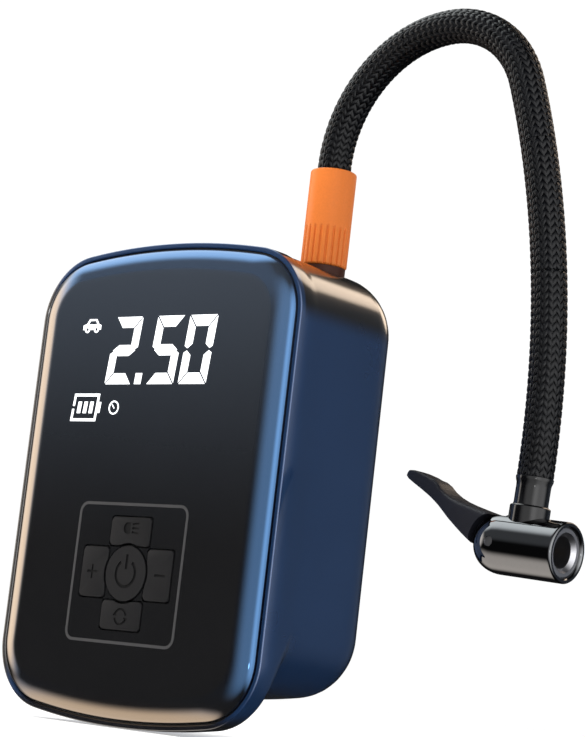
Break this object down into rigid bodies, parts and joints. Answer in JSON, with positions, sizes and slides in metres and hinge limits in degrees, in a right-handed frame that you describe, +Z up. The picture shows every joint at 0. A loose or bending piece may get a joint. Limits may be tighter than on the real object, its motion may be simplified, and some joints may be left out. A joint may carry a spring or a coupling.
{
  "type": "portable tire inflator",
  "caption": "Hand-sized battery tire inflator: glossy display front, five-button keypad, metallic housing, screw-on braided hose and a lever-locked valve chuck.",
  "frame": {"origin": "centre of the flat back face of the housing, level with the middle of the front outline", "axes": "+X to the right seen from the front, +Y out of the back face, +Z up towards the air outlet"},
  "size_m": [0.1651, 0.0505, 0.1967],
  "materials": {
    "cover_black": "piano black, high gloss, rounded edge",
    "housing_blue": "deep metallic blue lacquer, glossy",
    "inner_black": "fine moulded texture",
    "button_black": "soft-touch, satin",
    "line_grey": "raised satin line",
    "lit_white": "lit white segments",
    "display_body": "moulded light box",
    "board_green": "solder mask",
    "chip_black": "epoxy",
    "silicone_black": "matte silicone",
    "screw_steel": "zinc plated",
    "motor_steel": "drawn steel can",
    "pump_aluminium": "die cast",
    "brass": "machined",
    "gear_plastic": "acetal",
    "copper_rotor": "laminations and copper windings",
    "cell_wrap": null,
    "clear_lens": "clear lens",
    "led_yellow": "phosphor",
    "tube_clear": "translucent silicone",
    "collar_orange": "satin moulded orange",
    "hose_braid": "tight nylon braid with bright flecks",
    "ferrule_black": "glossy black crimp sleeve",
    "chrome": "polished chrome",
    "lever_black": "blue-black, satin"
  },
  "bodies": {
    "housing": {"front_plate": "cover_black", "keypad_border": "line_grey", "display_digits": "lit_white", "display_icons": "lit_white", "keypad_mat": "silicone_black", "tact_switches": "chip_black", "main_board": "board_green", "display_module": "display_body", "pressure_sensor": "chip_black", "front_frame": "inner_black", "case_gasket": "silicone_black", "rear_housing": "housing_blue", "housing_screws": "screw_steel", "usb_port": "screw_steel", "torch_lens": "clear_lens", "torch_led": "led_yellow", "battery_cells": "cell_wrap", "battery_holder": "inner_black", "cell_straps": "screw_steel", "motor_can": "motor_steel", "motor_endcap": "gear_plastic", "pump_frame": "pump_aluminium", "frame_screws": "screw_steel", "gear_axle": "screw_steel", "pump_cylinder": "pump_aluminium", "cylinder_head": "pump_aluminium", "head_screws": "screw_steel", "air_tube": "tube_clear", "outlet_port": "brass", "port_nut": "ferrule_black", "port_seal": "silicone_black"},
    "power": {"power_button": "button_black"},
    "light": {"light_button": "button_black"},
    "mode": {"mode_button": "button_black"},
    "plus": {"plus_button": "button_black"},
    "minus": {"minus_button": "button_black"},
    "rotor": {"motor_rotor": "copper_rotor", "pinion": "brass"},
    "crank": {"crank_gear": "gear_plastic", "crank_pin": "screw_steel"},
    "rod": {"connecting_rod": "inner_black"},
    "piston": {"piston": "pump_aluminium", "piston_seal": "silicone_black", "wrist_pin": "screw_steel"},
    "fitting": {"hose_fitting": "brass"},
    "collar": {"hose_collar": "collar_orange"},
    "hose_link_1": {"hose_1": "hose_braid"},
    "hose_link_2": {"hose_2": "hose_braid"},
    "hose_link_3": {"hose_3": "hose_braid"},
    "hose_link_4": {"hose_4": "hose_braid"},
    "hose_link_5": {"hose_5": "hose_braid"},
    "hose_link_6": {"hose_6": "hose_braid", "hose_ferrule": "ferrule_black", "chuck_body": "chrome", "jaw_sleeve": "chrome", "chuck_seal": "silicone_black", "lever_pin": "screw_steel"},
    "plunger": {"clamp_plunger": "brass"},
    "lever": {"chuck_lever": "lever_black"}
  },
  "joints": [
    {"name": "power_press", "type": "slide", "parent": "housing", "child": "power", "axis": [0, 1, 0], "range_m": [0, 0.0006], "stiffness_N_per_m": 700},
    {"name": "light_press", "type": "slide", "parent": "housing", "child": "light", "axis": [0, 1, 0], "range_m": [0, 0.0006], "stiffness_N_per_m": 700},
    {"name": "mode_press", "type": "slide", "parent": "housing", "child": "mode", "axis": [0, 1, 0], "range_m": [0, 0.0006], "stiffness_N_per_m": 700},
    {"name": "plus_press", "type": "slide", "parent": "housing", "child": "plus", "axis": [0, 1, 0], "range_m": [0, 0.0006], "stiffness_N_per_m": 700},
    {"name": "minus_press", "type": "slide", "parent": "housing", "child": "minus", "axis": [0, 1, 0], "range_m": [0, 0.0006], "stiffness_N_per_m": 700},
    {"name": "collar_turn", "type": "hinge", "parent": "fitting", "child": "collar", "pos_m": [0.0296, -0.0195, 0.0632], "axis": [0, 0, 1], "range_deg": [0, 1441]},
    {"name": "hose_lift", "type": "slide", "parent": "housing", "child": "fitting", "axis": [0, 0, 1], "range_m": [0, 0.005]},
    {"name": "hose_swivel", "type": "hinge", "parent": "fitting", "child": "hose_link_1", "pos_m": [0.0296, -0.0195, 0.0897], "axis": [0, 0, 1], "range_deg": [-40, 90]},
    {"name": "hose_bend_1", "type": "hinge", "parent": "hose_link_1", "child": "hose_link_2", "pos_m": [0.0402, -0.0195, 0.1165], "axis": [0, 1, 0], "range_deg": [-14, 1]},
    {"name": "hose_bend_2", "type": "hinge", "parent": "hose_link_2", "child": "hose_link_3", "pos_m": [0.0658, -0.0195, 0.1271], "axis": [0, 1, 0], "range_deg": [-14, 1]},
    {"name": "hose_bend_3", "type": "hinge", "parent": "hose_link_3", "child": "hose_link_4", "pos_m": [0.0908, -0.0195, 0.1096], "axis": [0, 1, 0], "range_deg": [-14, 1]},
    {"name": "hose_bend_4", "type": "hinge", "parent": "hose_link_4", "child": "hose_link_5", "pos_m": [0.10041, -0.0195, 0.07607], "axis": [0, 1, 0], "range_deg": [-14, 1]},
    {"name": "hose_bend_5", "type": "hinge", "parent": "hose_link_5", "child": "hose_link_6", "pos_m": [0.10526, -0.0195, 0.04153], "axis": [0, 1, 0], "range_deg": [-14, 1]},
    {"name": "lever_lift", "type": "hinge", "parent": "hose_link_6", "child": "lever", "pos_m": [0.09845, -0.0195, -0.00911], "axis": [0, 1, 0], "range_deg": [-24, 28]},
    {"name": "plunger_slide", "type": "slide", "parent": "hose_link_6", "child": "plunger", "axis": [0.9976, 0, -0.0698], "range_m": [-0.00035, 0.00041]},
    {"name": "crank_spin", "type": "hinge", "parent": "housing", "child": "crank", "pos_m": [0.0016, -0.0195, 0.0008], "axis": [1, 0, 0], "continuous": true},
    {"name": "rotor_spin", "type": "hinge", "parent": "housing", "child": "rotor", "pos_m": [0.0016, -0.0195, -0.016], "axis": [1, 0, 0], "continuous": true},
    {"name": "piston_slide", "type": "slide", "parent": "housing", "child": "piston", "axis": [0, 0, 1], "range_m": [-0.008, 0]},
    {"name": "rod_swing", "type": "hinge", "parent": "piston", "child": "rod", "pos_m": [0.0088, -0.0195, 0.0288], "axis": [1, 0, 0], "range_deg": [-9, 9]}
  ],
  "couplings": [
    {"joint": "collar_turn", "follows": "hose_lift", "rad_per_m": 5026.5},
    {"joint": "plunger_slide", "follows": "lever_lift", "m_per_rad": 0.00081851},
    {"joint": "rotor_spin", "follows": "crank_spin", "ratio": -3.6667},
    {"joint": "hose_bend_1", "follows": "hose_bend_5", "ratio": 1},
    {"joint": "hose_bend_2", "follows": "hose_bend_5", "ratio": 1},
    {"joint": "hose_bend_3", "follows": "hose_bend_5", "ratio": 1},
    {"joint": "hose_bend_4", "follows": "hose_bend_5", "ratio": 1}
  ]
}
